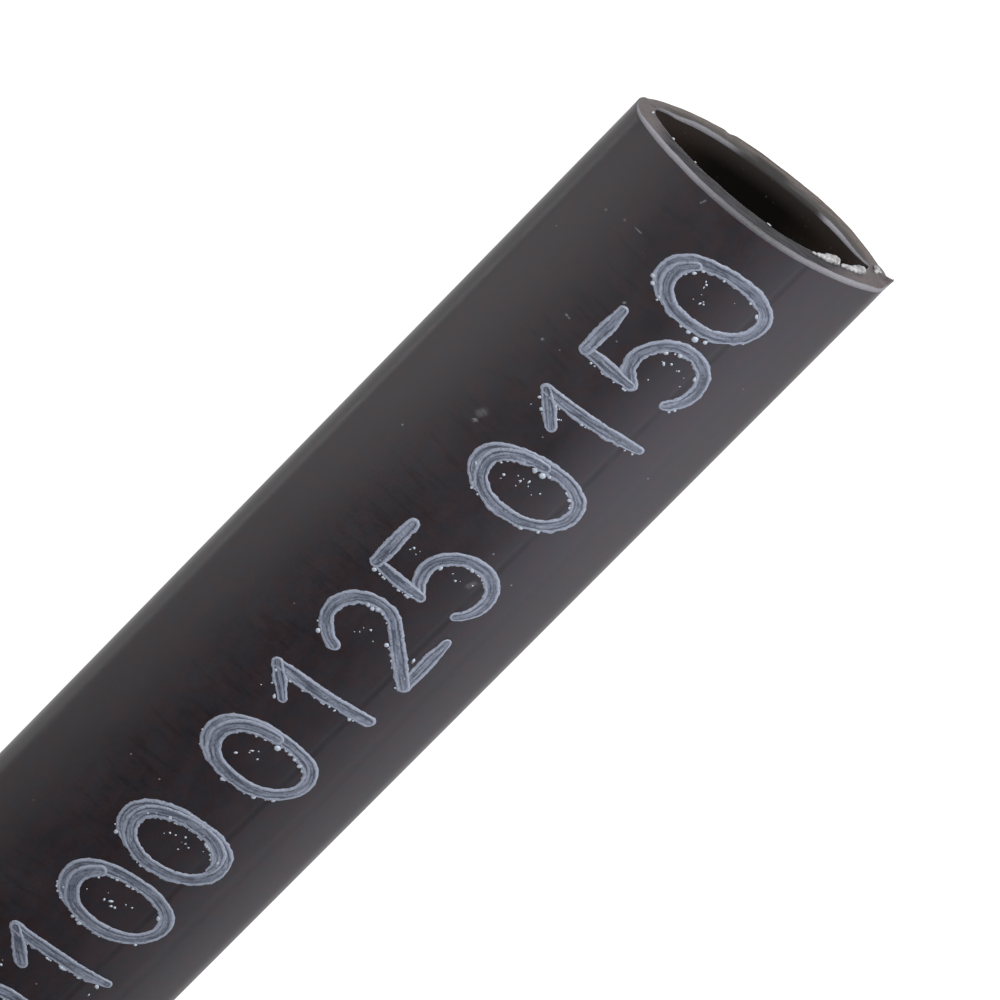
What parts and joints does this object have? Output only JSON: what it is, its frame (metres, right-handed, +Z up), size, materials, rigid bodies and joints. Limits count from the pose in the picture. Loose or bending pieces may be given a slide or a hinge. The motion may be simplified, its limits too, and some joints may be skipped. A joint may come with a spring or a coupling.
{
  "type": "heat shrink tube",
  "caption": "Cut length of black heat shrink tube, supplied flattened to a lens-shaped section, open at both square-cut ends, slid over a wire joint and shrunk with heat.",
  "frame": {"origin": "centre of the base: midway between the two cut ends and under the crown, on the floor that the tube lies on", "axes": "+X along the tube towards the open end shown, +Y across its wide side, +Z up across its narrow side"},
  "size_m": [0.1524, 0.0176, 0.0071],
  "materials": {
    "black_polyolefin": "satin black, smooth, with faint marks from the extruder and a pale printed legend along the top"
  },
  "bodies": {
    "root": {"heat_shrink_tube": "black_polyolefin"}
  },
  "joints": []
}
